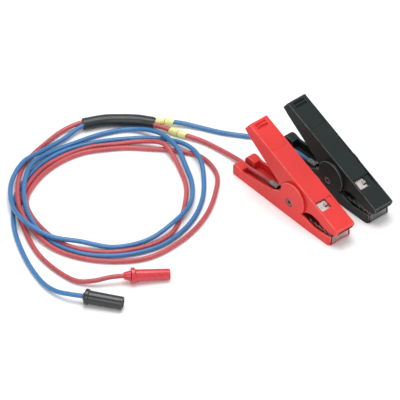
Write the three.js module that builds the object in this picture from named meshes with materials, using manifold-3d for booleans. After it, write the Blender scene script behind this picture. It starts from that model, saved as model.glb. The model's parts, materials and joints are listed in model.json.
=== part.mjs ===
// A battery test lead: two insulated spring clips on a red and a blue lead.
// Both leads pass through a short black sleeve, lie in two loose loops and end in in-line sockets.
// Millimetres, +Z up. The clips point along +X and stand on Z = 0, either side of Y = 0.
import * as THREE from 'three'
import { mergeVertices } from 'three/addons/utils/BufferGeometryUtils.js'
import Module from 'manifold-3d'

const wasm = await Module()
wasm.setup()

// Clip
const CLIP_Y = 18
const PIVOT = { x: 6.2, z: 13 }
const WALL = 1.8
const GAP = 0.3

// Lower lever
const REAR_X = -55.6
const FRONT_X = 50
const REAR_HALF_WIDTH = 9.7
const EAR_HALF_WIDTH = 10.4
const EAR_START_X = -8
const EAR = { x: 9.6, z: 18.6, radius: 12.3 }
const FLOOR_THICKNESS = 1.8
const SLOT_HALF_WIDTH = 2.7
const SLOT_FRONT_X = -44
const LUG_FRONT_X = -45.6
const PIN_SEAT_Y = 9

// Upper lever, along its sloping top face
const TOP_REAR = { x: -38.5, z: 54.8 }
const TOP_FRONT = { x: 55, z: 16.2 }
const UPPER_HALF_WIDTH = 8.2
const PLATE_THICKNESS = 2
const HUB_RADIUS = 6.6
const WINDOW_FROM = 74.5
const WINDOW_TO = 82.5
const RECESS_HALF_WIDTH = 6.6

// Metal parts
const SHEET = 0.8
const UPPER_JAW_HALF_WIDTH = 6.1
const LOWER_JAW_HALF_WIDTH = 7.6
const TOOTH_PITCH = 4.8
const TOOTH_HEIGHT = 1.8
const PIN_RADIUS = 2.2
const PIN_HEAD_RADIUS = 3
const PIN_HALF_LENGTH = 10
const COIL_RADIUS = 3.6
const WIRE_RADIUS = 0.65
const COIL_PITCH = 1.7
const COIL_FROM_DEGREES = 282
const COIL_TO_DEGREES = 48 + 4 * 360
const RIVET_X = -10
const RIVET_RADIUS = 1.6
const CRIMP_REAR_X = -24
const CRIMP_FRONT_X = -16
const CRIMP_Z = 5.6
const CRIMP_RADIUS = 2.9
const TONGUE_HALF_WIDTH = 3.4
const TONGUE_THICKNESS = 1

// Leads
const LEAD_RADIUS = 1.7
const LEAD_SIDES = 8
const LEAD_STEPS = 85
const SLEEVE_BORE = 4.05
const SLEEVE_RADIUS = 4.45
const MARKER_BORE = 2.25
const MARKER_RADIUS = 2.7
const MARKER_LENGTH = 6.4
const BLUE_MARKER_START = 115.9
const RED_MARKER_START = 86

// Sockets
const FLANGE_WIDTH = 2.8
const SOCKET_BORE = 3.2
const CONTACT_RADIUS = 2.9
const CONTACT_BORE = 2

const RED = 0xe23a34
const BLACK = 0x26292a
const STEEL = 0xc4c6c8
const BRASS = 0xc9a65a
const BLUE_JACKET = 0x2f6fb0
const RED_JACKET = 0xd9343c
const SLEEVE_BLACK = 0x34393b
const MARKER_YELLOW = 0xeae878
const RED_SOCKET = 0xe2404a
const BLACK_SOCKET = 0x3a3f41

// Routes of the leads, from the crimp in the clip to the end inside the socket.
const BLUE_ROUTE = [
  [-19, 18, 5.6], [-33, 18, 5.6], [-45, 18, 4.2], [-56, 18.3, 3.9], [-67, 13.6, 2.2],
  [-78, 4.8, 1.8], [-92, -5.6, 1.8], [-107, -14.2, 2], [-118, -22, 3.2], [-125, -29.4, 4],
  [-130, -35.5, 4.4], [-139.5, -43, 5.7], [-147.5, -53.5, 6.3], [-153.6, -64, 5.7], [-159.9, -77.8, 4.4],
  [-159, -97, 3], [-158, -117, 4], [-154, -138, 8], [-143, -158, 7], [-125, -172, 6.5],
  [-103.6, -178.5, 9], [-81.5, -173, 6.3], [-65, -160, 5], [-48, -144, 1.8], [-37, -122, 3],
  [-37, -98, 5.8], [-45, -76, 4.6], [-62, -59, 2.4], [-79, -50, 3], [-98, -43, 5.8],
  [-117, -43, 6.3], [-136, -52, 2.5], [-146, -70, 1.8], [-151.5, -92, 1.8], [-154.5, -112, 2.2],
  [-151, -132, 5.2], [-140, -148, 5.5], [-125, -161, 5.5], [-107.3, -170.2, 4.6], [-81.8, -173.4, 2.1],
  [-57, -165, 1.8], [-37, -144, 1.8], [-27.5, -118, 1.8], [-31, -90, 1.8], [-43, -67, 1.9],
  [-61, -49, 2], [-79, -38, 5.8], [-98, -36, 4.4], [-118, -46, 2.1], [-132, -63, 1.8],
  [-143, -82, 1.8], [-149.5, -102, 1.8], [-150, -122, 1.8], [-145, -141, 1.8], [-137, -158, 1.8],
  [-123, -173, 1.8], [-105, -186, 1.8], [-82, -197, 1.8], [-64, -203, 1.8], [-48, -206, 2.4],
  [-35.6, -205.2, 4.1], [-26.3, -201.3, 5.7], [-18.9, -196, 5.85], [-16, -193.9, 5.75],
]
const RED_ROUTE = [
  [-20, -18, 5.6], [-34, -18, 5.6], [-47, -18, 4.2], [-57, -17.5, 3.9], [-68, -17.8, 2.8],
  [-81, -19.5, 2.2], [-93.6, -22.4, 2.3], [-104, -27.1, 2.9], [-113, -31, 3.1], [-120.6, -34.6, 3.6],
  [-128, -38.8, 4.4], [-138, -45.5, 3.1], [-147.5, -53.5, 2.6], [-156, -62.2, 3.1], [-163.3, -76.6, 4.4],
  [-167, -90, 2.5], [-164, -111, 2.1], [-159, -130, 2], [-148, -146, 5], [-135, -159, 5.5],
  [-117.3, -170.8, 5.5], [-96, -176.6, 3.9], [-70.8, -175.8, 2], [-44, -161, 1.8], [-24, -134, 1.8],
  [-22, -104, 1.8], [-30, -75, 1.8], [-45, -52, 1.8], [-60, -38, 1.8], [-81, -34, 1.8],
  [-99, -44, 1.8], [-112, -56, 1.8], [-123, -67, 1.8], [-132, -80, 1.8], [-140, -96, 1.8],
  [-142.3, -116.1, 1.8], [-137.7, -138.4, 1.8], [-125.1, -159, 1.8], [-100.3, -168.4, 1.8],
  [-70.8, -167.4, 1.8],
  [-47, -151, 1.8], [-33.5, -126, 1.8], [-32, -106, 1.8], [-40, -89, 1.8], [-51, -75, 1.8],
  [-64, -63, 1.8], [-79, -55, 1.8], [-92, -50, 3], [-106, -48, 5.9], [-120, -56, 3.5],
  [-131, -70, 1.8], [-141, -87, 1.8], [-145.5, -106, 1.8], [-145.4, -126.3, 1.8], [-137.6, -148.2, 1.8],
  [-123.6, -167.1, 1.8], [-101, -180, 1.8], [-73, -189, 1.8], [-46, -188.9, 1.8], [-35.6, -185.8, 2.4],
  [-27.3, -178.5, 4.4], [-21.2, -168.8, 6.15], [-16.3, -161.3, 6.25], [-14.6, -158.7, 6.05],
]
const SLEEVE_ROUTE = [
  [-129.1, -37.2, 4.45], [-138.8, -44.3, 4.45], [-147.5, -53.5, 4.45], [-154.8, -63, 4.45],
  [-161.15, -76.5, 4.45],
]

const model = new THREE.Group()

function material(color, roughness, metalness) {
  return new THREE.MeshStandardMaterial({ color, roughness, metalness })
}

function add(parent, name, geometry, color, roughness = 0.5, metalness = 0) {
  const mesh = new THREE.Mesh(geometry, material(color, roughness, metalness))
  mesh.name = name
  parent.add(mesh)
  return mesh
}

// Solids for cutting and joining

function toSolid(geometry) {
  const bare = geometry.clone()
  bare.deleteAttribute('normal')
  bare.deleteAttribute('uv')
  const merged = mergeVertices(bare, 1e-4)
  const mesh = new wasm.Mesh({
    numProp: 3,
    vertProperties: new Float32Array(merged.attributes.position.array),
    triVerts: new Uint32Array(merged.index.array),
  })
  return new wasm.Manifold(mesh)
}

function toGeometry(solid) {
  const mesh = solid.getMesh()
  const geometry = new THREE.BufferGeometry()
  geometry.setAttribute('position', new THREE.BufferAttribute(mesh.vertProperties, 3))
  geometry.setIndex(new THREE.BufferAttribute(mesh.triVerts, 1))
  geometry.computeVertexNormals()
  return geometry
}

function shapeOf(points) {
  return new THREE.Shape(points.map(([a, b]) => new THREE.Vector2(a, b)))
}

// An outline in X and Z, as wide as twice halfWidth across Y, or between two Y values.
function sideSolid(points, halfWidth, lowY = -halfWidth) {
  const depth = halfWidth - lowY
  const geometry = new THREE.ExtrudeGeometry(shapeOf(points), { depth, bevelEnabled: false })
  geometry.rotateX(Math.PI / 2)
  geometry.translate(0, halfWidth, 0)
  return toSolid(geometry)
}

// An outline in X and Y, between two heights.
function planSolid(points, lowZ, highZ) {
  const options = { depth: highZ - lowZ, bevelEnabled: false }
  const geometry = new THREE.ExtrudeGeometry(shapeOf(points), options)
  geometry.translate(0, 0, lowZ)
  return toSolid(geometry)
}

function boxSolid(low, high) {
  const size = high.map((value, axis) => value - low[axis])
  const geometry = new THREE.BoxGeometry(...size)
  geometry.translate(...high.map((value, axis) => (value + low[axis]) / 2))
  return toSolid(geometry)
}

// A round bar along Y through a point in X and Z.
function crossBar(x, z, radius, lowY, highY, sides = 20) {
  const geometry = new THREE.CylinderGeometry(radius, radius, highY - lowY, sides)
  geometry.translate(x, (lowY + highY) / 2, 0)
  geometry.translate(0, 0, z)
  return toSolid(geometry)
}

function uprightBar(x, y, radius, lowZ, highZ, sides = 16) {
  const geometry = new THREE.CylinderGeometry(radius, radius, highZ - lowZ, sides)
  geometry.rotateX(Math.PI / 2)
  geometry.translate(x, y, (lowZ + highZ) / 2)
  return toSolid(geometry)
}

function arc(cx, cz, radius, fromDegrees, toDegrees, steps) {
  const points = []
  for (let i = 0; i <= steps; i += 1) {
    const angle = THREE.MathUtils.degToRad(fromDegrees + ((toDegrees - fromDegrees) * i) / steps)
    points.push([cx + radius * Math.cos(angle), cz + radius * Math.sin(angle)])
  }
  return points
}

// Tubes

function curveThrough(points) {
  return new THREE.CatmullRomCurve3(points.map((point) => new THREE.Vector3(...point)))
}

function circleShape(radius, sides, bore = 0) {
  const shape = shapeOf(arc(0, 0, radius, 0, 360 - 360 / sides, sides - 1))
  if (bore > 0) {
    shape.holes.push(new THREE.Path(arc(0, 0, bore, 0, 360 - 360 / sides, sides - 1)
      .map(([a, b]) => new THREE.Vector2(a, b))))
  }
  return shape
}

function tube(curve, steps, radius, sides, bore = 0) {
  const options = { steps, extrudePath: curve, bevelEnabled: false }
  return new THREE.ExtrudeGeometry(circleShape(radius, sides, bore), options)
}

// The stretch of a curve between two distances from its start.
function stretch(curve, from, to, count) {
  const total = curve.getLength()
  const points = []
  for (let i = 0; i <= count; i += 1) {
    points.push(curve.getPointAt((from + ((to - from) * i) / count) / total))
  }
  return new THREE.CatmullRomCurve3(points)
}

// Distances along and below the upper lever's top face, given as X and Z.
const slope = new THREE.Vector2(TOP_FRONT.x - TOP_REAR.x, TOP_FRONT.z - TOP_REAR.z)
const TOP_LENGTH = slope.length()
slope.normalize()

function below(along, depth) {
  return [
    TOP_REAR.x + slope.x * along + slope.y * depth,
    TOP_REAR.z + slope.y * along - slope.x * depth,
  ]
}

// Plastic levers

function lowerOutline() {
  return [
    [-53.6, 0], [47, 0], [49.2, 0.8], [FRONT_X, 3], [FRONT_X, 7.6], [49.2, 8.2],
    [40, 7.4], [33, 7.1], [27, 8.6], [22.5, 9.7],
    ...arc(EAR.x, EAR.z, EAR.radius, -40, 184, 20),
    [-5.6, 16.2], [-11.7, 13.4], [-35, 9], [-43.5, 7.9], [-46, 8.5], [-48.4, 9.6],
    [-50.8, 9.9], [-53, 9.3], [-54.7, 7.8], [REAR_X, 5.6], [REAR_X, 2.2], [-55, 0.7],
  ]
}

function lowerPlan(inset) {
  const rear = REAR_HALF_WIDTH - inset
  const ear = EAR_HALF_WIDTH - inset
  const half = [
    [REAR_X + inset, rear - 2], [REAR_X + 0.7 + inset, rear - 0.6], [REAR_X + 2.2 + inset, rear],
    [EAR_START_X, ear], [26, ear], [FRONT_X - 3, ear - 0.4],
  ]
  const front = inset > 0
    ? [[FRONT_X + 1, ear - 0.4]]
    : [[FRONT_X - 0.8, ear - 1.4], [FRONT_X, ear - 3.4]]
  const side = [...half, ...front]
  const mirrored = side.map(([x, y]) => [x, -y])
  return [...mirrored, ...side.reverse()]
}

function lowerLever() {
  const high = EAR.z + EAR.radius + 1
  const shell = sideSolid(lowerOutline(), EAR_HALF_WIDTH + 1)
    .intersect(planSolid(lowerPlan(0), -1, high))
  const channel = planSolid(lowerPlan(WALL), FLOOR_THICKNESS, high)
  const slot = boxSolid(
    [REAR_X - 1, -SLOT_HALF_WIDTH, FLOOR_THICKNESS],
    [SLOT_FRONT_X, SLOT_HALF_WIDTH, high],
  )
  const reach = EAR_HALF_WIDTH + 1
  const lugs = shell.intersect(boxSolid([REAR_X, -reach, 0], [LUG_FRONT_X, reach, high]))
  return shell
    .subtract(channel)
    .add(lugs)
    .subtract(slot)
    .subtract(crossBar(PIVOT.x, PIVOT.z, PIN_RADIUS + GAP, -reach, reach))
    .subtract(crossBar(PIVOT.x, PIVOT.z, PIN_HEAD_RADIUS + GAP, PIN_SEAT_Y, reach))
    .subtract(crossBar(PIVOT.x, PIVOT.z, PIN_HEAD_RADIUS + GAP, -reach, -PIN_SEAT_Y))
}

function upperOutline() {
  return [
    [-43.5, 48.2], [-39, 54.4], [TOP_REAR.x, TOP_REAR.z], [TOP_FRONT.x, TOP_FRONT.z],
    [55.2, 14.6], [53.4, 10.9], [49, 10.2], [44, 10.2], [39, 11.2], [34, 13.9], [27.4, 14.8],
    [23, 13.2], [18.5, 9.8],
    ...arc(PIVOT.x, PIVOT.z, HUB_RADIUS, -45, -180, 12),
    [-4.8, 20.4], [-38, 43.6],
  ].reverse()
}

function upperLever() {
  const reach = UPPER_HALF_WIDTH + 1
  const inner = UPPER_HALF_WIDTH - WALL
  const hollow = sideSolid([
    below(2.6, PLATE_THICKNESS), [-44, 42], [-10, 0], [60, 0], below(TOP_LENGTH + 3, PLATE_THICKNESS),
  ], inner)
  const window = sideSolid([
    below(WINDOW_FROM, -1), below(WINDOW_FROM, 4), below(WINDOW_TO, 4), below(WINDOW_TO, -1),
  ], 2, -RECESS_HALF_WIDTH)
  const ramp = sideSolid([
    below(WINDOW_FROM, -1), below(WINDOW_FROM, 1), below(WINDOW_TO + 4.5, 0), below(WINDOW_TO + 4.5, -1),
  ], RECESS_HALF_WIDTH, 2)
  const thumbRecess = sideSolid([
    below(3, -1), below(3, 0), below(25.6, 0.7), below(25.6, -1),
  ], 6.4)
  const grooves = [[2.2, 3.6], [5.2, 6.6]].map(([from, to]) => sideSolid([
    below(from, -1), below(from, 1.2), below(to, 1.2), below(to, -1),
  ], 4.8))
  return sideSolid(upperOutline(), UPPER_HALF_WIDTH)
    .subtract(hollow)
    .subtract(window)
    .subtract(ramp)
    .subtract(thumbRecess)
    .subtract(grooves[0])
    .subtract(grooves[1])
    .subtract(crossBar(PIVOT.x, PIVOT.z, PIN_RADIUS + GAP, -reach, reach))
}

// Metal jaws

// A row of teeth along a line of tips, from one X to another. Each tip points up or down.
function teeth(tipLine, fromX, toX, up) {
  const count = Math.round(Math.abs(toX - fromX) / TOOTH_PITCH)
  const points = []
  for (let i = 0; i <= count * 2; i += 1) {
    const x = fromX + ((toX - fromX) * i) / (count * 2)
    const valley = i % 2 === 0 ? TOOTH_HEIGHT : 0
    points.push([x, tipLine(x) + (up ? -valley : valley)])
  }
  return points
}

function between(x, corners) {
  for (let i = 1; i < corners.length; i += 1) {
    const [x0, z0] = corners[i - 1]
    const [x1, z1] = corners[i]
    if (x <= x1) return z0 + ((z1 - z0) * (x - x0)) / (x1 - x0)
  }
  return corners[corners.length - 1][1]
}

function lowerJaw() {
  const bottom = FLOOR_THICKNESS + GAP
  const front = 49.4
  const outline = [
    [16, bottom], [front, bottom], [front, 7.8], [48.2, 7.8],
    ...teeth(() => 9.2, 47.6, 23.6, true),
    [21, 7], [16, 3.6],
  ]
  const trough = sideSolid(outline, LOWER_JAW_HALF_WIDTH)
  const hollow = boxSolid(
    [10, SHEET - LOWER_JAW_HALF_WIDTH, bottom + SHEET],
    [front - SHEET, LOWER_JAW_HALF_WIDTH - SHEET, 20],
  )
  const strip = boxSolid([-15, -4.4, bottom], [17, 4.4, bottom + SHEET])
  return trough.subtract(hollow).add(strip).subtract(uprightBar(RIVET_X, 0, RIVET_RADIUS + GAP, 0, 10))
}

function upperJaw() {
  const top = PLATE_THICKNESS + 0.35
  const tips = [[20, 14], [33, 13.8], [39, 11.4], [44, 9.6], [52, 9.6]]
  const outline = [
    below(60, top), [20, 16.6],
    ...teeth((x) => between(x, tips), 24, 48, false),
    [49, 9.8], [51.6, 10.2], below(97.6, top),
  ]
  const trough = sideSolid(outline, UPPER_JAW_HALF_WIDTH)
  const hollow = sideSolid([
    below(50, top + SHEET), [10, 0], [50.4, 0], below(96.7, top + SHEET),
  ], UPPER_JAW_HALF_WIDTH - SHEET)
  const tongue = sideSolid([
    below(77, top + 0.4), below(77, top - 1.4), below(78, top - 2), below(79.4, top - 1.4),
    below(80.4, top + 0.4),
  ], 1.2, -1.2)
  return trough.subtract(hollow).add(tongue)
}

// Small metal pieces

function pivotPin() {
  const half = [
    [0, PIN_HALF_LENGTH], [PIN_HEAD_RADIUS - 0.3, PIN_HALF_LENGTH], [PIN_HEAD_RADIUS, PIN_HALF_LENGTH - 0.3],
    [PIN_HEAD_RADIUS, PIN_HALF_LENGTH - 0.7], [PIN_RADIUS, PIN_HALF_LENGTH - 0.7],
  ]
  const lower = half.map(([radius, y]) => [radius, -y])
  const profile = [...lower, ...half.reverse()].map(([radius, y]) => new THREE.Vector2(radius, y))
  const geometry = new THREE.LatheGeometry(profile, 20)
  geometry.translate(PIVOT.x, 0, PIVOT.z)
  return geometry
}

// Straight steps from one point towards another, without the last one.
function leg(from, to, count) {
  const points = []
  for (let i = 0; i < count; i += 1) {
    points.push(from.map((value, axis) => value + ((to[axis] - value) * i) / count))
  }
  return points
}

function torsionSpring() {
  const lowerEnd = [-24, 5.4, 2.8]
  const upperEnd = [-22, -4.2, 44.4]
  const turns = (COIL_TO_DEGREES - COIL_FROM_DEGREES) / 360
  const width = turns * COIL_PITCH
  const coil = arc(PIVOT.x, PIVOT.z, COIL_RADIUS, COIL_FROM_DEGREES, COIL_TO_DEGREES, Math.round(turns * 14))
    .map(([x, z], index, all) => [x, width / 2 - (width * index) / (all.length - 1), z])
  const coilEnd = coil[coil.length - 1]
  const rise = leg(coilEnd, upperEnd, 8).slice(1)
  const wire = curveThrough([...leg(lowerEnd, coil[0], 8), ...coil, ...rise, upperEnd])
  return tube(wire, 120, WIRE_RADIUS, 6)
}

function crimpTerminal() {
  const barrelLength = CRIMP_FRONT_X - CRIMP_REAR_X
  const middle = (CRIMP_FRONT_X + CRIMP_REAR_X) / 2
  const bar = (radius, length) => {
    const geometry = new THREE.CylinderGeometry(radius, radius, length, 16)
    geometry.rotateZ(Math.PI / 2)
    geometry.translate(middle, 0, CRIMP_Z)
    return toSolid(geometry)
  }
  const bottom = FLOOR_THICKNESS + 2 * GAP + SHEET
  const tongue = boxSolid(
    [CRIMP_FRONT_X - 1.6, -TONGUE_HALF_WIDTH, bottom],
    [-5, TONGUE_HALF_WIDTH, bottom + TONGUE_THICKNESS],
  )
  return bar(CRIMP_RADIUS, barrelLength)
    .subtract(bar(LEAD_RADIUS + GAP, barrelLength + 2))
    .add(tongue)
    .subtract(uprightBar(RIVET_X, 0, RIVET_RADIUS + GAP, 0, 10))
}

function terminalRivet() {
  const bottom = FLOOR_THICKNESS + GAP
  const head = bottom + SHEET + GAP + TONGUE_THICKNESS + GAP
  const profile = [
    [0, bottom], [RIVET_RADIUS, bottom], [RIVET_RADIUS, head], [2.8, head], [2.6, head + 0.6],
    [1.6, head + 1.1], [0, head + 1.2],
  ]
  const geometry = new THREE.LatheGeometry(profile.map(([r, z]) => new THREE.Vector2(r, z)), 16)
  geometry.rotateX(Math.PI / 2)
  geometry.translate(RIVET_X, 0, 0)
  return geometry
}

function clip(colour, side, color) {
  const group = new THREE.Group()
  group.position.set(0, side * CLIP_Y, 0)
  add(group, `${colour}_lower_lever`, toGeometry(lowerLever()), color, 0.45)
  add(group, `${colour}_upper_lever`, toGeometry(upperLever()), color, 0.45)
  add(group, `${colour}_lower_jaw`, toGeometry(lowerJaw()), STEEL, 0.3, 1)
  add(group, `${colour}_upper_jaw`, toGeometry(upperJaw()), STEEL, 0.3, 1)
  add(group, `${colour}_pivot_pin`, pivotPin(), STEEL, 0.35, 1)
  add(group, `${colour}_torsion_spring`, torsionSpring(), STEEL, 0.35, 1)
  add(group, `${colour}_crimp_terminal`, toGeometry(crimpTerminal()), STEEL, 0.4, 1)
  add(group, `${colour}_terminal_rivet`, terminalRivet(), STEEL, 0.4, 1)
  return group
}

// In-line sockets, with the axis along +X from the rear of the boot

// A ring with the given outline of [distance, radius] pairs and one bore.
function turned(outline, bore, sides) {
  const first = outline[0][0]
  const last = outline[outline.length - 1][0]
  const section = [[first, bore], ...outline, [last, bore], [first, bore]]
  const profile = section.map(([along, radius]) => new THREE.Vector2(radius, along))
  const geometry = new THREE.LatheGeometry(profile, sides)
  geometry.rotateZ(-Math.PI / 2)
  return geometry
}

function socket(colour, spec) {
  const group = new THREE.Group()
  group.rotation.order = 'ZYX'
  group.position.set(...spec.position)
  group.rotation.set(0, spec.pitch, spec.heading)
  const { length, flange, rearRadius, frontRadius, bootRadius } = spec
  add(group, `${colour}_socket_body`, turned([
    [flange, 5.3], [flange + 0.5, 5.75], [flange + FLANGE_WIDTH - 0.5, 5.75],
    [flange + FLANGE_WIDTH, 5.3], [flange + FLANGE_WIDTH, rearRadius],
    [length - 0.8, frontRadius], [length, frontRadius - 0.6],
  ], SOCKET_BORE, 24), spec.color, 0.45)
  add(group, `${colour}_socket_boot`, turned([
    [0, bootRadius - 0.5], [flange - 0.8, bootRadius + 0.6], [flange - GAP, bootRadius + 0.6],
    [flange - GAP, CONTACT_RADIUS], [flange + 4, CONTACT_RADIUS],
  ], LEAD_RADIUS + GAP, 20), spec.color, 0.55)
  add(group, `${colour}_socket_contact`, turned([
    [flange + 5, CONTACT_RADIUS], [length - 1, CONTACT_RADIUS],
  ], CONTACT_BORE, 20), BRASS, 0.3, 1)
  return group
}

model.add(clip('red', -1, RED))
model.add(clip('black', 1, BLACK))

const blueCurve = curveThrough(BLUE_ROUTE)
const redCurve = curveThrough(RED_ROUTE)
const sleeveCurve = curveThrough(SLEEVE_ROUTE)
add(model, 'blue_lead', tube(blueCurve, LEAD_STEPS, LEAD_RADIUS, LEAD_SIDES), BLUE_JACKET, 0.45)
add(model, 'red_lead', tube(redCurve, LEAD_STEPS, LEAD_RADIUS, LEAD_SIDES), RED_JACKET, 0.45)
add(model, 'cable_sleeve', tube(sleeveCurve, 12, SLEEVE_RADIUS, 16, SLEEVE_BORE), SLEEVE_BLACK, 0.5)

// Two marker rings on each lead, starting this far along it.
const markers = [['blue', blueCurve, BLUE_MARKER_START], ['red', redCurve, RED_MARKER_START]]
for (const [colour, curve, start] of markers) {
  for (const [index, place] of ['rear', 'front'].entries()) {
    const from = start + index * (MARKER_LENGTH + GAP)
    const ring = tube(stretch(curve, from, from + MARKER_LENGTH, 4), 4, MARKER_RADIUS, 12, MARKER_BORE)
    add(model, `${colour}_lead_marker_${place}`, ring, MARKER_YELLOW, 0.5)
  }
}

model.add(socket('red', {
  position: [-16.3, -161.3, 6.25],
  heading: Math.atan2(27.1, 17.7),
  pitch: 0.068,
  length: 32.5,
  flange: 5,
  rearRadius: 4.25,
  frontRadius: 3.95,
  bootRadius: 3.1,
  color: RED_SOCKET,
}))
model.add(socket('black', {
  position: [-18.9, -196, 5.9],
  heading: Math.atan2(16.7, 22.9),
  pitch: 0.037,
  length: 28.6,
  flange: 1.4,
  rearRadius: 4.85,
  frontRadius: 4.7,
  bootRadius: 3.1,
  color: BLACK_SOCKET,
}))

export default model
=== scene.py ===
"""Looks for a battery test lead: two insulated spring clips on a red and a blue lead."""
import json
import math

import bmesh
import bpy
import numpy as np
from mathutils import Matrix, Vector, noise


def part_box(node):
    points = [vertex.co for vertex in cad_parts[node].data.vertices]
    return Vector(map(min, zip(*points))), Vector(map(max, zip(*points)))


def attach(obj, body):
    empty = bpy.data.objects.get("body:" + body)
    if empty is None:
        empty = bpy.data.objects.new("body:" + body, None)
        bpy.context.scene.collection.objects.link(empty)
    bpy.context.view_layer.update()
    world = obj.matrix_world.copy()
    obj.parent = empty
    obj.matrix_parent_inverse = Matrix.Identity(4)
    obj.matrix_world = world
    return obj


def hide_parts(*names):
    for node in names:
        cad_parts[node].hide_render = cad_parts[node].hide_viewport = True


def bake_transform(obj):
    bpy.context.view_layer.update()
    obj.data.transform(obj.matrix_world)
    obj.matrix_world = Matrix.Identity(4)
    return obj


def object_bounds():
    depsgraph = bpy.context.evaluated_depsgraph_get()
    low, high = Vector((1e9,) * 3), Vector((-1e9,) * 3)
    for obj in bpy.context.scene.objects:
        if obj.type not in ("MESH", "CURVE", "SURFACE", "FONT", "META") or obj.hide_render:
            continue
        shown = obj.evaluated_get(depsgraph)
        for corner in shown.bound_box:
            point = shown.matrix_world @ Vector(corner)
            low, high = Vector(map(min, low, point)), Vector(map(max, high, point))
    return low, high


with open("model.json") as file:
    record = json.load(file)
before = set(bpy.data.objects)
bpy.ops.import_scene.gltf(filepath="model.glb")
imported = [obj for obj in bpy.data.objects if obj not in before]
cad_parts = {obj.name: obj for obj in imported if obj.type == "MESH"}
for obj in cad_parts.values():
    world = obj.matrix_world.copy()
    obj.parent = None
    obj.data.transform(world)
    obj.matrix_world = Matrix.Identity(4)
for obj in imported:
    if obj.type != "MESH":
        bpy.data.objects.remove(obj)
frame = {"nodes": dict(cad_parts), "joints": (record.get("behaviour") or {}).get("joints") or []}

CAD_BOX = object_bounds()
MM = 0.001

# Camera settings
AZIMUTH = math.radians(49.2)
ELEVATION = math.radians(41)
LENS = 600
SENSOR = 36
VIEW_WIDTH = 0.28
AIM_OFFSET = Vector((0.0327, 0.0052, 0))

# Sizes of the leads and their markers
LEAD_DIAMETER = 3.4 * MM
LEAD_SPACING = 1.5 * MM
MARKER_LENGTH = 6.4 * MM
MARKER_GAP = 0.3 * MM
BLUE_MARKER_START = 115.9 * MM
RED_MARKER_START = 86 * MM

# Routes of the leads, from the crimp in the clip to the end inside the socket
BLUE_ROUTE = [
    (-0.019, 0.018, 0.0056), (-0.033, 0.018, 0.0056), (-0.045, 0.018, 0.0042),
    (-0.056, 0.0183, 0.0039), (-0.067, 0.0136, 0.0022), (-0.078, 0.0048, 0.0018),
    (-0.092, -0.0056, 0.0018), (-0.107, -0.0142, 0.002), (-0.118, -0.022, 0.0032),
    (-0.125, -0.0294, 0.004), (-0.13, -0.0355, 0.0044), (-0.1395, -0.043, 0.0057),
    (-0.1475, -0.0535, 0.0063), (-0.1536, -0.064, 0.0057), (-0.1599, -0.0778, 0.0044),
    (-0.159, -0.097, 0.003), (-0.158, -0.117, 0.004), (-0.154, -0.138, 0.008), (-0.143, -0.158, 0.007),
    (-0.125, -0.172, 0.0065), (-0.1036, -0.1785, 0.009), (-0.0815, -0.173, 0.0063),
    (-0.065, -0.16, 0.005), (-0.048, -0.144, 0.0018), (-0.037, -0.122, 0.003),
    (-0.037, -0.098, 0.0058), (-0.045, -0.076, 0.0046), (-0.062, -0.059, 0.0024),
    (-0.079, -0.05, 0.003), (-0.098, -0.043, 0.0058), (-0.117, -0.043, 0.0063),
    (-0.136, -0.052, 0.0025), (-0.146, -0.07, 0.0018), (-0.1515, -0.092, 0.0018),
    (-0.1545, -0.112, 0.0022), (-0.151, -0.132, 0.0052), (-0.14, -0.148, 0.0055),
    (-0.125, -0.161, 0.0055), (-0.1073, -0.1702, 0.0046), (-0.0818, -0.1734, 0.0021),
    (-0.057, -0.165, 0.0018), (-0.037, -0.144, 0.0018), (-0.0275, -0.118, 0.0018),
    (-0.031, -0.09, 0.0018), (-0.043, -0.067, 0.0019), (-0.061, -0.049, 0.002),
    (-0.079, -0.038, 0.0058), (-0.098, -0.036, 0.0044), (-0.118, -0.046, 0.0021),
    (-0.132, -0.063, 0.0018), (-0.143, -0.082, 0.0018), (-0.1495, -0.102, 0.0018),
    (-0.15, -0.122, 0.0018), (-0.145, -0.141, 0.0018), (-0.137, -0.158, 0.0018),
    (-0.123, -0.173, 0.0018), (-0.105, -0.186, 0.0018), (-0.082, -0.197, 0.0018),
    (-0.064, -0.203, 0.0018), (-0.048, -0.206, 0.0024), (-0.0356, -0.2052, 0.0041),
    (-0.0263, -0.2013, 0.0057), (-0.0189, -0.196, 0.00585), (-0.016, -0.1939, 0.00575),
]
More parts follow.
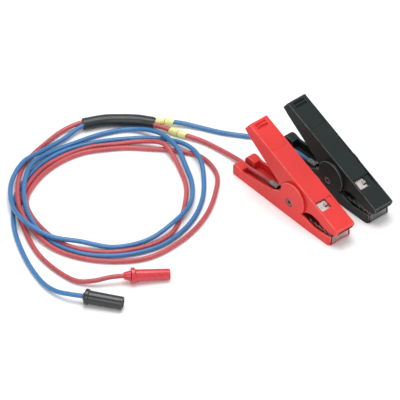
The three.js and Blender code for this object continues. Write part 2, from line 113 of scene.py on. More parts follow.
RED_ROUTE = [
    (-0.02, -0.018, 0.0056), (-0.034, -0.018, 0.0056), (-0.047, -0.018, 0.0042),
    (-0.057, -0.0175, 0.0039), (-0.068, -0.0178, 0.0028), (-0.081, -0.0195, 0.0022),
    (-0.0936, -0.0224, 0.0023), (-0.104, -0.0271, 0.0029), (-0.113, -0.031, 0.0031),
    (-0.1206, -0.0346, 0.0036), (-0.128, -0.0388, 0.0044), (-0.138, -0.0455, 0.0031),
    (-0.1475, -0.0535, 0.0026), (-0.156, -0.0622, 0.0031), (-0.1633, -0.0766, 0.0044),
    (-0.167, -0.09, 0.0025), (-0.164, -0.111, 0.0021), (-0.159, -0.13, 0.002), (-0.148, -0.146, 0.005),
    (-0.135, -0.159, 0.0055), (-0.1173, -0.1708, 0.0055), (-0.096, -0.1766, 0.0039),
    (-0.0708, -0.1758, 0.002), (-0.044, -0.161, 0.0018), (-0.024, -0.134, 0.0018),
    (-0.022, -0.104, 0.0018), (-0.03, -0.075, 0.0018), (-0.045, -0.052, 0.0018),
    (-0.06, -0.038, 0.0018), (-0.081, -0.034, 0.0018), (-0.099, -0.044, 0.0018),
    (-0.112, -0.056, 0.0018), (-0.123, -0.067, 0.0018), (-0.132, -0.08, 0.0018),
    (-0.14, -0.096, 0.0018), (-0.1423, -0.1161, 0.0018), (-0.1377, -0.1384, 0.0018),
    (-0.1251, -0.159, 0.0018), (-0.1003, -0.1684, 0.0018), (-0.0708, -0.1674, 0.0018),
    (-0.047, -0.151, 0.0018), (-0.0335, -0.126, 0.0018), (-0.032, -0.106, 0.0018),
    (-0.04, -0.089, 0.0018), (-0.051, -0.075, 0.0018), (-0.064, -0.063, 0.0018),
    (-0.079, -0.055, 0.0018), (-0.092, -0.05, 0.003), (-0.106, -0.048, 0.0059),
    (-0.12, -0.056, 0.0035), (-0.131, -0.07, 0.0018), (-0.141, -0.087, 0.0018),
    (-0.1455, -0.106, 0.0018), (-0.1454, -0.1263, 0.0018), (-0.1376, -0.1482, 0.0018),
    (-0.1236, -0.1671, 0.0018), (-0.101, -0.18, 0.0018), (-0.073, -0.189, 0.0018),
    (-0.046, -0.1889, 0.0018), (-0.0356, -0.1858, 0.0024), (-0.0273, -0.1785, 0.0044),
    (-0.0212, -0.1688, 0.00615), (-0.0163, -0.1613, 0.00625), (-0.0146, -0.1587, 0.00605),
]
SLEEVE_ROUTE = [
    (-0.1291, -0.0372, 0.00445), (-0.1388, -0.0443, 0.00445), (-0.1475, -0.0535, 0.00445),
    (-0.1548, -0.063, 0.00445), (-0.16115, -0.0765, 0.00445),
]

# Radii of the socket bodies in front of the flange and at the mouth
SOCKET_RADII = {"red": (4.25 * MM, 3.95 * MM), "black": (4.85 * MM, 4.7 * MM)}

# Limits used to round the CAD shapes
MERGE_DISTANCE = 0.01 * MM
FLAT_ANGLE = math.radians(1.5)
BEVEL_ANGLE = math.radians(28)
CREST_ANGLE = 0.2


# Paths and meshes

def catmull_span(before, start, end, after, share):
    """A point of a centripetal Catmull-Rom span between start and end."""
    gaps = [max((b - a).length ** 0.5, 1e-4) for a, b in ((before, start), (start, end), (end, after))]
    leave = (start - before) / gaps[0] - (end - before) / (gaps[0] + gaps[1]) + (end - start) / gaps[1]
    arrive = (end - start) / gaps[1] - (after - start) / (gaps[1] + gaps[2]) + (after - end) / gaps[2]
    leave *= gaps[1]
    arrive *= gaps[1]
    square, cube = share ** 2, share ** 3
    return (
        start * (2 * cube - 3 * square + 1) + end * (3 * square - 2 * cube)
        + leave * (cube - 2 * square + share) + arrive * (cube - square)
    )


def even(points, spacing):
    """The same line with its points an even distance apart."""
    line = np.array([tuple(p) for p in points])
    along = np.r_[0, np.cumsum(np.linalg.norm(np.diff(line, axis=0), axis=1))]
    places = np.linspace(0, along[-1], max(2, round(along[-1] / spacing) + 1))
    return [Vector([np.interp(place, along, line[:, axis]) for axis in range(3)]) for place in places]


def smooth_path(route, spacing, per_span=24):
    """The curve that the CAD tube follows through a route's points."""
    knots = [Vector(point) for point in route]
    knots = [knots[0] * 2 - knots[1], *knots, knots[-1] * 2 - knots[-2]]
    points = []
    for index in range(1, len(knots) - 2):
        span = knots[index - 1:index + 3]
        points += [catmull_span(*span, step / per_span) for step in range(per_span)]
    return even([*points, knots[-2]], spacing)


def stretch(path, start, length, spacing):
    """The part of an evenly spaced path that starts at a distance along it."""
    step = (path[1] - path[0]).length
    first = int(start / step)
    last = math.ceil((start + length) / step) + 1
    part = path[first:last + 1]
    fine = even(part, spacing / 4)
    skip = round((start - first * step) / (spacing / 4))
    count = round(length / (spacing / 4))
    return fine[skip:skip + count + 1]


def frames_along(path):
    """For each point of a path, a matrix with X along it that turns as little as it can."""
    frames = []
    side = None
    for index, point in enumerate(path):
        ahead = path[min(index + 1, len(path) - 1)]
        behind = path[max(index - 1, 0)]
        forward = (ahead - behind).normalized()
        if side is None:
            side = forward.cross(Vector((0, 0, 1))).normalized()
        side = (side - forward * side.dot(forward)).normalized()
        up = side.cross(forward)
        frames.append(Matrix((
            (forward.x, side.x, up.x, point.x),
            (forward.y, side.y, up.y, point.y),
            (forward.z, side.z, up.z, point.z),
            (0, 0, 0, 1),
        )))
    return frames


def ring(place, radius, sides):
    """A circle, or any round outline where radius is a function of the angle."""
    points = []
    for index in range(sides):
        angle = 2 * math.pi * index / sides
        reach = radius(angle) if callable(radius) else radius
        points.append(place @ Vector((0, reach * math.cos(angle), reach * math.sin(angle))))
    return points


def skin(name, rings, closed=False):
    """A closed mesh through rings of points. It has flat ends, or joins up with itself where closed."""
    sides = len(rings[0])
    points = [point for loop in rings for point in loop]
    faces = []
    count = len(rings) if closed else len(rings) - 1
    for index in range(count):
        low = index * sides
        high = (index + 1) % len(rings) * sides
        for turn in range(sides):
            after = (turn + 1) % sides
            faces.append((low + turn, low + after, high + after, high + turn))
    if not closed:
        faces.append(tuple(reversed(range(sides))))
        faces.append(tuple(range((len(rings) - 1) * sides, len(rings) * sides)))
    return mesh_object(name, points, faces)


def mesh_object(name, points, faces):
    mesh = bpy.data.meshes.new(name)
    mesh.from_pydata([tuple(p) for p in points], [], faces)
    work = bmesh.new()
    work.from_mesh(mesh)
    bmesh.ops.recalc_face_normals(work, faces=work.faces)
    work.to_mesh(mesh)
    work.free()
    piece = bpy.data.objects.new(name, mesh)
    bpy.context.scene.collection.objects.link(piece)
    soften(piece)
    return piece


def soften(piece, degrees=38):
    """Shades a mesh smooth, apart from its sharp edges."""
    piece.data.polygons.foreach_set("use_smooth", [True] * len(piece.data.polygons))
    piece.data.set_sharp_from_angle(angle=math.radians(degrees))


def apply_modifiers(piece):
    graph = bpy.context.evaluated_depsgraph_get()
    mesh = bpy.data.meshes.new_from_object(piece.evaluated_get(graph))
    piece.modifiers.clear()
    piece.data = mesh


def join(name, parts):
    """One object out of several."""
    work = bmesh.new()
    for part in parts:
        work.from_mesh(part.data)
        bpy.data.objects.remove(part)
    mesh = bpy.data.meshes.new(name)
    work.to_mesh(mesh)
    work.free()
    piece = bpy.data.objects.new(name, mesh)
    bpy.context.scene.collection.objects.link(piece)
    soften(piece)
    return piece


def tube(name, path, radius, sides, bore=None):
    """A tube along a path. Its radius may depend on the share of the path and the angle."""
    frames = frames_along(path)
    last = len(frames) - 1

    def outline(index, size):
        if callable(size):
            return lambda angle: size(index / last, angle)
        return size

    rings = [ring(place, outline(index, radius), sides) for index, place in enumerate(frames)]
    if bore is None:
        return skin(name, rings)
    inner = [ring(place, outline(index, bore), sides) for index, place in enumerate(frames)]
    return skin(name, rings + inner[::-1], closed=True)


def rounded(outline, radius, steps=4):
    """A closed outline with its corners rounded."""
    corners = [Vector(point) for point in outline]
    points = []
    for index, corner in enumerate(corners):
        back = corners[index - 1] - corner
        ahead = corners[(index + 1) % len(corners)] - corner
        cut = min(radius, back.length * 0.48, ahead.length * 0.48)
        start = corner + back.normalized() * cut
        end = corner + ahead.normalized() * cut
        for step in range(steps + 1):
            share = step / steps
            points.append(start * (1 - share) ** 2 + corner * 2 * share * (1 - share) + end * share ** 2)
    return points


def turned(name, outline, place, sides=64, closed=True):
    """A turned piece from (distance, radius) pairs, about the X axis of place."""
    rings = [ring(place @ Matrix.Translation((along, 0, 0)), radius, sides) for along, radius in outline]
    return skin(name, rings, closed)


def axis_of(node):
    """Where a round CAD node lies, and its length.

    The place is a matrix with X along the node and its origin at the rear end.
    """
    mesh = frame["nodes"][node].data
    points = np.array([tuple(v.co) for v in mesh.vertices])
    middle = points.mean(0)
    forward = np.linalg.svd(points - middle, full_matrices=False)[2][0]
    forward *= math.copysign(1, forward[0])
    along = (points - middle) @ forward
    start = Vector(middle + forward * along.min())
    ahead = Vector(forward)
    return frames_along([start, start + ahead])[0], float(along.max() - along.min())


# Rounded copies of the CAD shapes

def merged_copy(node):
    """A CAD node's mesh with flat faces made whole."""
    work = bmesh.new()
    work.from_mesh(frame["nodes"][node].data)
    bmesh.ops.remove_doubles(work, verts=work.verts, dist=MERGE_DISTANCE)
    bmesh.ops.dissolve_limit(work, angle_limit=FLAT_ANGLE, verts=work.verts[:], edges=work.edges[:])
    return work


def rounded_copy(node, name, width, segments=3):
    """A copy of a CAD node with its sharp edges rounded and its outer ones marked for the edge colour: wear
    and a painted highlight.
    """
    work = merged_copy(node)
    mesh = bpy.data.meshes.new(name)
    work.to_mesh(mesh)
    work.free()
    piece = bpy.data.objects.new(name, mesh)
    bpy.context.scene.collection.objects.link(piece)
    bevel = piece.modifiers.new("round", "BEVEL")
    bevel.width = width
    bevel.segments = segments
    bevel.limit_method = "ANGLE"
    bevel.angle_limit = BEVEL_ANGLE
    bevel.use_clamp_overlap = False
    bevel.miter_outer = "MITER_ARC"
    for _ in range(2):
        mesh.materials.append(None)
    bevel.material = 1
    apply_modifiers(piece)
    mark_edges(piece)
    soften(piece, 60)
    normals = piece.modifiers.new("flat", "WEIGHTED_NORMAL")
    normals.keep_sharp = True
    apply_modifiers(piece)
    return piece


def mark_edges(piece):
    """Stores 1 at the points on the crest of a rounded outer edge, and 0 elsewhere, for the edge colour:
    wear and a painted highlight.
    """
    work = bmesh.new()
    work.from_mesh(piece.data)
    layer = work.verts.layers.float.new("edge")
    for vert in work.verts:
        on_strip = all(face.material_index == 1 for face in vert.link_faces)
        creases = [edge for edge in vert.link_edges if edge.calc_face_angle(0) > CREST_ANGLE]
        outer = all(edge.is_convex for edge in creases)
        vert[layer] = 1.0 if on_strip and outer else 0.0
    for face in work.faces:
        face.material_index = 0
    work.to_mesh(piece.data)
    work.free()


# Materials

class Shader:
    """A material's node tree with one Principled shader."""

    def __init__(self, name):
        self.material = bpy.data.materials.new(name)
        self.material.use_nodes = True
        self.tree = self.material.node_tree
        self.surface = self.tree.nodes["Principled BSDF"]
        self.place = self.tree.nodes.new("ShaderNodeTexCoord").outputs["Object"]

    def set(self, **values):
        for name, value in values.items():
            self.surface.inputs[name.replace("_", " ")].default_value = value

    def link(self, source, socket):
        self.tree.links.new(source, socket)

    def noise(self, scale, detail=3, stretch=(1, 1, 1), rough=0.5):
        """A noise, in features for each metre."""
        mapping = self.tree.nodes.new("ShaderNodeMapping")
        mapping.inputs["Scale"].default_value = stretch
        self.link(self.place, mapping.inputs["Vector"])
        node = self.tree.nodes.new("ShaderNodeTexNoise")
        node.inputs["Scale"].default_value = scale
        node.inputs["Detail"].default_value = detail
        node.inputs["Roughness"].default_value = rough
        self.link(mapping.outputs["Vector"], node.inputs["Vector"])
        return node.outputs["Fac"]

    def between(self, value, low, high, start=0.3, end=0.7):
        """A value from start to end mapped to a range."""
        node = self.tree.nodes.new("ShaderNodeMapRange")
        node.inputs["From Min"].default_value = start
        node.inputs["From Max"].default_value = end
        node.inputs["To Min"].default_value = low
        node.inputs["To Max"].default_value = high
        self.link(value, node.inputs["Value"])
        return node.outputs["Result"]

    def product(self, first, second):
        node = self.tree.nodes.new("ShaderNodeMath")
        node.operation = "MULTIPLY"
        self.link(first, node.inputs[0])
        self.link(second, node.inputs[1])
        return node.outputs["Value"]

    def attribute(self, name):
        node = self.tree.nodes.new("ShaderNodeAttribute")
        node.attribute_name = name
        return node.outputs["Fac"]

    def mix(self, share, first, second):
        """Two colours mixed by a value. Each may be a colour or a socket."""
        node = self.tree.nodes.new("ShaderNodeMix")
        node.data_type = "RGBA"
        self.link(share, node.inputs["Factor"])
        for name, colour in (("A", first), ("B", second)):
            socket = [s for s in node.inputs if s.name == name and s.type == "RGBA"][0]
            if isinstance(colour, tuple):
                socket.default_value = (*colour, 1)
            else:
                self.link(colour, socket)
        return [s for s in node.outputs if s.type == "RGBA"][0]

    def bump(self, height, depth, below=None):
        """Raises the surface by up to depth metres."""
        node = self.tree.nodes.new("ShaderNodeBump")
        node.inputs["Strength"].default_value = 1
        node.inputs["Distance"].default_value = depth
        self.link(height, node.inputs["Height"])
        if below is not None:
            self.link(below, node.inputs["Normal"])
        return node.outputs["Normal"]

    def finish(self, colour, roughness, normal):
        self.link(colour, self.surface.inputs["Base Color"])
        self.link(roughness, self.surface.inputs["Roughness"])
        self.link(normal, self.surface.inputs["Normal"])
        return self.material


def shade(colour, factor):
    """A colour made darker or lighter."""
    return tuple(min(1, part * factor) for part in colour)


def moulded_plastic(name, colour, roughness, grain_depth, edge_wear_and_highlight=None, edge_wear_and_highlight_strength=0, gloss=0.5):
    """Moulded plastic with a fine grain and faint flow marks. Where an edge colour is given, the rounded
    edges are lightened: partly rubbed wear, partly a painted highlight.
    """
    s = Shader(name)
    flow = s.noise(35, 2, (0.5, 1, 1))
    base = s.mix(s.between(flow, 0, 1), shade(colour, 0.88), shade(colour, 1.06))
    speckle = s.noise(2600, 2)
    base = s.mix(s.between(speckle, 0, 0.14, 0.5, 0.75), base, shade(colour, 1.35))
    if edge_wear_and_highlight is not None:
        # Lighter rounded edges, broken up by noise: rubbed wear and a painted highlight along the edge
        # crests.
        rub_and_highlight = s.between(s.noise(240, 5, rough=0.65), edge_wear_and_highlight_strength * 0.3, edge_wear_and_highlight_strength, 0.35, 0.62)
        base = s.mix(s.product(s.attribute("edge"), rub_and_highlight), base, edge_wear_and_highlight)
    rough = s.between(s.noise(420, 4), roughness - 0.07, roughness + 0.08)
    grain = s.bump(s.noise(3200, 3), grain_depth)
    normal = s.bump(s.noise(60, 2), 0.05 * MM, grain)
    s.set(Specular_IOR_Level=gloss)
    return s.finish(base, rough, normal)


def jacket(name, colour, light, roughness=0.34):
    """Soft cable jacket: a satin skin with slight waviness from the strands under it."""
    s = Shader(name)
    base = s.mix(s.between(s.noise(45, 3), 0, 1), shade(colour, 0.85), shade(colour, 1.1))
    base = s.mix(s.between(s.noise(900, 4), 0, 0.3, 0.5, 0.75), base, light)
    rough = s.between(s.noise(300, 4), roughness - 0.06, roughness + 0.08)
    strands = s.bump(s.noise(330, 2), 0.012 * MM)
    normal = s.bump(s.noise(3000, 3), 0.01 * MM, strands)
    s.set(Specular_IOR_Level=0.5, Coat_Weight=0.15, Coat_Roughness=0.25)
    return s.finish(base, rough, normal)


def metal(name, colour, tarnish, roughness, stretch, depth=0.006 * MM):
    """Bare or plated metal with drawn lines along one direction and dull patches."""
    s = Shader(name)
    patches = s.between(s.noise(180, 5, rough=0.65), 0, 0.6, 0.45, 0.75)
    base = s.mix(patches, colour, tarnish)
    lines = s.noise(900, 4, stretch)
    rough = s.between(lines, roughness - 0.08, roughness + 0.12)
    normal = s.bump(lines, depth)
    s.set(Metallic=1.0)
    return s.finish(base, rough, normal)


def paint(piece, slot):
    """Gives a piece the material for a record slot."""
    piece.data.materials.clear()
    piece.data.materials.append(MATERIALS[slot])


# How far a metal's drawn lines are stretched along each axis
ALONG = (0.06, 1, 1)
ROUND = (1, 1, 1)
MATERIALS = {
    # The red and black plastics get a lighter edge colour: rubbed wear and a painted highlight.
    "red_plastic": moulded_plastic(
        "red_plastic", (0.66, 0.03, 0.027), 0.42, 0.012 * MM,
        edge_wear_and_highlight=(0.92, 0.26, 0.22), edge_wear_and_highlight_strength=0.6, gloss=0.3),
    "black_plastic": moulded_plastic(
        "black_plastic", (0.0105, 0.0165, 0.0155), 0.5, 0.03 * MM,
        edge_wear_and_highlight=(0.16, 0.18, 0.18), edge_wear_and_highlight_strength=0.9, gloss=0.2),
    "jaw_steel": metal("jaw_steel", (0.62, 0.57, 0.565), (0.36, 0.3, 0.3), 0.3, ALONG),
    "pin_steel": metal("pin_steel", (0.2, 0.18, 0.175), (0.07, 0.055, 0.05), 0.42, ROUND),
    "spring_steel": metal("spring_steel", (0.62, 0.62, 0.63), (0.3, 0.28, 0.26), 0.32, ROUND),
    "tinned_terminal": metal("tinned_terminal", (0.42, 0.33, 0.32), (0.27, 0.18, 0.16), 0.42, ALONG),
    "copper": metal("copper", (0.86, 0.45, 0.3), (0.45, 0.2, 0.12), 0.3, ROUND),
    "red_jacket": jacket("red_jacket", (0.47, 0.062, 0.072), (0.72, 0.28, 0.28)),
    "blue_jacket": jacket("blue_jacket", (0.03, 0.16, 0.38), (0.14, 0.36, 0.58)),
    "sleeve_plastic": moulded_plastic("sleeve_plastic", (0.014, 0.02, 0.022), 0.33, 0.01 * MM),
    "marker_plastic": moulded_plastic("marker_plastic", (0.8, 0.785, 0.33), 0.4, 0.008 * MM),
    "red_socket_plastic": moulded_plastic(
        "red_socket_plastic", (0.6, 0.03, 0.045), 0.22, 0.008 * MM, gloss=0.6),
    "black_socket_plastic": moulded_plastic(
        "black_socket_plastic", (0.009, 0.012, 0.013), 0.22, 0.008 * MM, gloss=0.6),
    "contact_brass": metal("contact_brass", (0.83, 0.62, 0.27), (0.4, 0.26, 0.1), 0.28, ROUND),
}

# Steel with painted shade for the front of each clip's lower jaw; the red clip's is also tinted by a
# painted reflection of the red plastic. The black clip's crimp has the painted shade too.
FRONT_STEEL_WITH_PAINTED_SHADE = {
    "red": metal("steel_painted_shade_and_red_reflection", (0.5, 0.38, 0.375), (0.24, 0.17, 0.17), 0.36, ALONG),
    "black": metal("steel_painted_shade", (0.21, 0.225, 0.22), (0.1, 0.1, 0.1), 0.4, ALONG),
}


# Camera

def make_camera():
    """A long lens, aimed at the middle of the CAD box plus an offset."""
    low, high = CAD_BOX
    back = Vector((
        math.sin(AZIMUTH) * math.cos(ELEVATION),
        -math.cos(AZIMUTH) * math.cos(ELEVATION),
        math.sin(ELEVATION),
    ))
    data = bpy.data.cameras.new("camera")
    data.lens = LENS
    data.sensor_width = SENSOR
    camera = bpy.data.objects.new("camera", data)
    camera.location = (low + high) / 2 + AIM_OFFSET + back * VIEW_WIDTH * LENS / SENSOR
    camera.rotation_euler = (-back).to_track_quat("-Z", "Y").to_euler()
    bpy.context.scene.collection.objects.link(camera)
    bpy.context.scene.camera = camera


# Leads and what is on them

def make_lead(colour, path):
    """A lead as a curve of one open spline."""
    curve = bpy.data.curves.new(f"{colour}_lead_cord", "CURVE")
    curve.dimensions = "3D"
    spline = curve.splines.new("POLY")
    spline.points.add(len(path) - 1)
    for point, place in zip(spline.points, path):
        point.co = (*place, 1)
    spline.use_smooth = True
    curve.bevel_depth = LEAD_DIAMETER / 2
    curve.bevel_resolution = 6
    curve.use_fill_caps = True
    lead = bpy.data.objects.new(f"{colour}_lead_cord", curve)
    bpy.context.scene.collection.objects.link(lead)
    paint(lead, f"{colour}_jacket")
    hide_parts(f"{colour}_lead")
    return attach(lead, "root")


def cut_to_chevron(piece, path, sides, depth):
    """Slides the lines of points along a tube forward, so that both of its ends are cut to a V."""
    ahead = [place.to_3x3() @ Vector((1, 0, 0)) for place in frames_along(path)]
    loops = ahead + ahead[::-1]
    for index, vert in enumerate(piece.data.vertices):
        angle = 2 * math.pi * (index % sides) / sides
        vert.co += loops[index // sides] * depth * abs(math.cos(angle))


def make_marker(colour, index, path, start):
    """One marker ring: the rear one is plain with a collar, the front one is ribbed."""
    name = ("rear", "front")[index]
    fine = stretch(path, start + index * (MARKER_LENGTH + MARKER_GAP), MARKER_LENGTH, 0.1 * MM)
    radius = 2.32 * MM
    bore = 1.85 * MM
    rib_height = 0.38 * MM
    rib_count = 4
    collar_place = 0.72
    collar_width = 0.09
    mouth_depth = 0.35 * MM
    mouth_width = 0.06
    notch = 1 * MM
    sides = 40

    def outer(share, angle):
        if name == "rear":
            raised = math.exp(-(((share - collar_place) / collar_width) ** 2))
        else:
            raised = max(0, math.sin(math.pi * (share * rib_count * 2 + 0.5))) ** 0.6
        end = min(share, 1 - share) / mouth_width
        return radius + rib_height * raised - mouth_depth * max(0, 1 - end) ** 2

    ring_piece = tube(f"{colour}_marker_ring_{name}", fine, outer, sides, bore)
    cut_to_chevron(ring_piece, fine, sides, notch)
    paint(ring_piece, "marker_plastic")
    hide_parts(f"{colour}_lead_marker_{name}")
    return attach(ring_piece, "root")


def make_sleeve():
    """The tight sleeve round both leads, a little uneven and flattened, with rounded ends."""
    path = smooth_path(SLEEVE_ROUTE, 0.5 * MM)
    radius = 4.38 * MM
    wall = 0.55 * MM
    lump_height = 0.09 * MM
    lumps_along = 9
    flattening = 0.05 * MM
    end_depth = 0.18 * MM
    end_width = 0.02
    sides = 48

    def outer(share, angle):
        around = Vector((share * lumps_along, math.cos(angle), math.sin(angle)))
        lump = noise.noise(around) * lump_height
        end = min(share, 1 - share) / end_width
        return radius + lump + flattening * math.cos(2 * angle) - end_depth * max(0, 1 - end) ** 2

    def inner(share, angle):
        return outer(share, angle) - wall

    sleeve = tube("cable_sleeve_tube", path, outer, sides, inner)
    paint(sleeve, "sleeve_plastic")
    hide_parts("cable_sleeve")
    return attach(sleeve, "root")


def make_socket_body(colour):
    """The moulded body, from the rear face of its flange to its mouth."""
    place, length = axis_of(f"{colour}_socket_body")
    rear, front = SOCKET_RADII[colour]
    seat = 3 * MM
    flange = 5.7 * MM
    flange_width = 2.8 * MM
    foot = 0.1 * MM
    foot_end = 4.2 * MM
    bore = 3.2 * MM
    bore_start = 4 * MM
    outline = [
        (0, seat), (0, flange), (flange_width, flange), (flange_width, rear + foot),
        (foot_end, rear), (length, front), (length, bore), (bore_start, bore),
    ]
    return turned(f"{colour}_socket_moulding", rounded(outline, 0.5 * MM), place)


def make_socket_boot(colour):
    """The soft boot: a cone round the lead, and a spigot in the body's seat."""
    place, length = axis_of(f"{colour}_socket_boot")
    bore = 1.95 * MM
    tip = 2.5 * MM
    thickest = 3.7 * MM
    spigot = 2.9 * MM
    cone = length - 4 * MM
    shoulder = cone - 0.3 * MM
    outline = [
        (0, bore), (0, tip), (cone * 0.9, thickest), (shoulder, thickest),
        (shoulder, spigot), (length, spigot), (length, bore),
    ]
    return turned(f"{colour}_socket_strain_relief", rounded(outline, 0.3 * MM), place)


def make_socket_contact(colour):
    """The turned contact, with a countersink at its mouth."""
    place, length = axis_of(f"{colour}_socket_contact")
    bore = 2 * MM
    barrel = 2.9 * MM
    countersink = 2.3 * MM
    countersink_depth = 0.5 * MM
    outline = [
        (0, bore), (0, barrel), (length, barrel), (length, countersink), (length - countersink_depth, bore),
    ]
    return turned(f"{colour}_socket_barrel", rounded(outline, 0.15 * MM), place)


def make_socket(colour):
    """An in-line socket: a moulded body with a flange, a soft boot and a turned contact."""
    body = make_socket_body(colour)
    boot = make_socket_boot(colour)
    contact = make_socket_contact(colour)
    slot = f"{colour}_socket_plastic"
    for piece, finish, node in (
        (body, slot, "body"), (boot, slot, "boot"), (contact, "contact_brass", "contact"),
    ):
        paint(piece, finish)
        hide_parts(f"{colour}_socket_{node}")
        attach(piece, "root")
    return [body, boot, contact]


# Clips

def make_lever(colour, which, body):
    lever = rounded_copy(f"{colour}_{which}_lever", f"{colour}_{which}_lever_moulding", 0.5 * MM)
    paint(lever, f"{colour}_plastic")
    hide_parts(f"{colour}_{which}_lever")
    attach(lever, body)


def paint_front_shade(jaw, steel):
    """Gives a lower jaw's front face steel with painted shade, and on the red clip a painted reflection of
    the red plastic.
    """
    jaw.data.materials.append(steel)
    front = max(vert.co.x for vert in jaw.data.vertices)
    skin_depth = 0.5 * MM
    for face in jaw.data.polygons:
        if face.normal.x > 0.5 and face.center.x > front - skin_depth:
            face.material_index = 1


def make_jaw(colour, which, body):
    jaw = rounded_copy(f"{colour}_{which}_jaw", f"{colour}_{which}_jaw_pressing", 0.16 * MM, 2)
    paint(jaw, "jaw_steel")
    # The lower jaw's front face gets steel with painted shade.
    if which == "lower":
        paint_front_shade(jaw, FRONT_STEEL_WITH_PAINTED_SHADE[colour])
    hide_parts(f"{colour}_{which}_jaw")
    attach(jaw, body)


def make_pin(colour, pivot):
    """The hollow rivet that the levers turn on, with a rolled head at each end."""
    low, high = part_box(f"{colour}_pivot_pin")
    half = (high.y - low.y) / 2
    place = Matrix.Translation(pivot) @ Matrix.Rotation(math.pi / 2, 4, "Z")
    shank = 2.2 * MM
    head = 3 * MM
    mouth = 1.5 * MM
    bore = mouth * 0.8
    under_head = half - 0.8 * MM
    bore_end = half - 1.6 * MM
    outline = [
        (-half, mouth), (-half, head), (-under_head, head), (-under_head, shank),
        (under_head, shank), (under_head, head), (half, head), (half, mouth),
        (bore_end, bore), (-bore_end, bore),
    ]
    pin = turned(f"{colour}_pivot_rivet", rounded(outline, 0.28 * MM), place, 40)
    paint(pin, "pin_steel")
    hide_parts(f"{colour}_pivot_pin")
    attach(pin, "root")


def make_spring(colour, pivot):
    """The wire spring: one leg down to the lower lever's floor, a coil round the pin, and one leg up."""
    turns = 4 - 234 / 360
    first_angle = math.radians(282)
    pitch = 1.7 * MM
    radius = 3.6 * MM
    wire_radius = 0.65 * MM
    width = turns * pitch
    count = round(turns * 36)
    coil = []
    for index in range(count + 1):
        share = index / count
        angle = first_angle + share * turns * 2 * math.pi
        across = width * (0.5 - share)
        coil.append(pivot + Vector((radius * math.cos(angle), across, radius * math.sin(angle))))
    lower = pivot + Vector((-30.2, 5.4, -10.2)) * MM
    upper = pivot + Vector((-28.2, -4.2, 31.4)) * MM
    path = even([lower, *coil, upper], 0.35 * MM)
    wire = tube(f"{colour}_spring_wire", path, wire_radius, 12)
    paint(wire, "spring_steel")
    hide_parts(f"{colour}_torsion_spring")
    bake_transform(wire)


def make_strands(colour, start):
    """The bare copper strands in the crimp: one in the middle and six twisted round it."""
    round_it = 6
    lay_radius = 0.62 * MM
    strand_radius = 0.29 * MM
    twist = 0.25 / MM
    rear = -1 * MM
    strands = []
    for index in range(round_it + 1):
        phase = 2 * math.pi * index / round_it
        reach = 0 if index == round_it else lay_radius
        points = []
        for step in range(25):
            along = rear + step * 0.28 * MM
            angle = phase + along * twist
            points.append(start + Vector((along, reach * math.cos(angle), reach * math.sin(angle))))
        strands.append(tube(f"strand_{index}", points, strand_radius, 8))
    bundle = join(f"{colour}_lead_strands", strands)
    paint(bundle, "tinned_terminal")
    bundle.data.materials[0] = MATERIALS["copper"]
    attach(bundle, "root")


def make_crimp(colour, route):
    """The crimped terminal, and the bare strands that it holds."""
    terminal = rounded_copy(f"{colour}_crimp_terminal", f"{colour}_crimp_barrel", 0.2 * MM, 2)
    paint(terminal, "tinned_terminal")
    # The black clip's crimp gets darker steel: painted shade.
    if colour == "black":
        terminal.data.materials[0] = FRONT_STEEL_WITH_PAINTED_SHADE["black"]
    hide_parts(f"{colour}_crimp_terminal")
    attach(terminal, "root")
    make_strands(colour, Vector(route[0]))


def make_terminal_rivet(colour):
    """The rivet that holds the terminal to the jaw's strip, with a domed head."""
    low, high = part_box(f"{colour}_terminal_rivet")
    middle = (low + high) / 2
    place = Matrix.Translation((middle.x, middle.y, low.z)) @ Matrix.Rotation(-math.pi / 2, 4, "Y")
    tall = high.z - low.z
    shank = 1.55 * MM
    head = 2.8 * MM
    dome_height = 1.2 * MM
    tip = 0.02 * MM
    under_head = tall - dome_height
    dome = [
        (under_head + dome_height * math.sin(turn), head * math.cos(turn))
        for turn in (math.radians(9 * step) for step in range(10))
    ]
    outline = [(0, shank), (under_head, shank), *dome, (tall, tip)]
    rivet = turned(f"{colour}_terminal_rivet_head", outline, place, 32, closed=False)
    paint(rivet, "pin_steel")
    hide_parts(f"{colour}_terminal_rivet")
    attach(rivet, "root")


def make_clip(colour, route):
    """One spring clip, about the hinge that the frame gives."""
    joint = next(j for j in frame["joints"] if j["name"] == f"{colour}_clip_hinge")
    pivot = Vector(joint["pos_m"])
    make_lever(colour, "lower", "root")
    make_lever(colour, "upper", f"{colour}_upper")
    make_jaw(colour, "lower", "root")
    make_jaw(colour, "upper", f"{colour}_upper")
    make_pin(colour, pivot)
    make_spring(colour, pivot)
    make_crimp(colour, route)
    make_terminal_rivet(colour)


# Stage

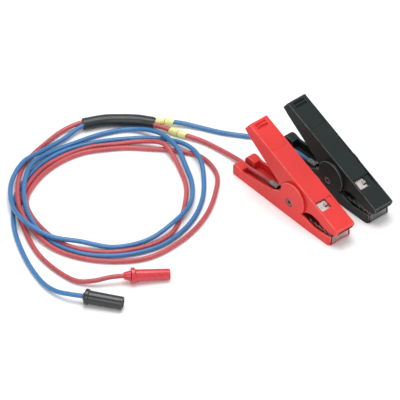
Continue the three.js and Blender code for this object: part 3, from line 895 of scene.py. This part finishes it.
def make_floor():
    """A plain pale floor."""
    mesh = bpy.data.meshes.new("floor")
    reach = 6
    corners = [(-reach, -reach, 0), (reach, -reach, 0), (reach, reach, 0), (-reach, reach, 0)]
    mesh.from_pydata(corners, [], [(0, 1, 2, 3)])
    floor = bpy.data.objects.new("floor", mesh)
    bpy.context.scene.collection.objects.link(floor)
    material = bpy.data.materials.new("floor")
    material.use_nodes = True
    surface = material.node_tree.nodes["Principled BSDF"]
    surface.inputs["Base Color"].default_value = (0.93, 0.93, 0.93, 1)
    surface.inputs["Roughness"].default_value = 0.9
    surface.inputs["Specular IOR Level"].default_value = 0.1
    floor.data.materials.append(material)


def area_light(name, place, aim, size, power):
    data = bpy.data.lights.new(name, "AREA")
    data.shape = "DISK"
    data.size = size
    data.energy = power
    light = bpy.data.objects.new(name, data)
    light.location = place
    light.rotation_euler = (Vector(aim) - Vector(place)).to_track_quat("-Z", "Y").to_euler()
    bpy.context.scene.collection.objects.link(light)


def make_lights():
    """A white surround, a large light from above and a weaker one from the front."""
    world = bpy.data.worlds.new("studio")
    world.use_nodes = True
    backdrop = world.node_tree.nodes["Background"]
    backdrop.inputs["Color"].default_value = (1, 1, 1, 1)
    backdrop.inputs["Strength"].default_value = 0.7
    scene = bpy.context.scene
    scene.world = world
    scene.view_settings.view_transform = "Standard"
    middle = (CAD_BOX[0] + CAD_BOX[1]) / 2
    area_light("key", middle + Vector((-0.1, 0.1, 1.1)), middle, size=0.9, power=9)
    area_light("fill", middle + Vector((0.7, -0.9, 0.6)), middle, size=0.8, power=3)


make_camera()
blue_path = smooth_path(BLUE_ROUTE, LEAD_SPACING)
red_path = smooth_path(RED_ROUTE, LEAD_SPACING)
blue_lead = make_lead("blue", blue_path)
red_lead = make_lead("red", red_path)
sleeve = make_sleeve()
blue_pieces = [make_marker("blue", index, blue_path, BLUE_MARKER_START) for index in (0, 1)]
red_pieces = [make_marker("red", index, red_path, RED_MARKER_START) for index in (0, 1)]
blue_pieces += make_socket("black")
red_pieces += make_socket("red")
make_clip("black", BLUE_ROUTE)
make_clip("red", RED_ROUTE)
make_floor()
make_lights()
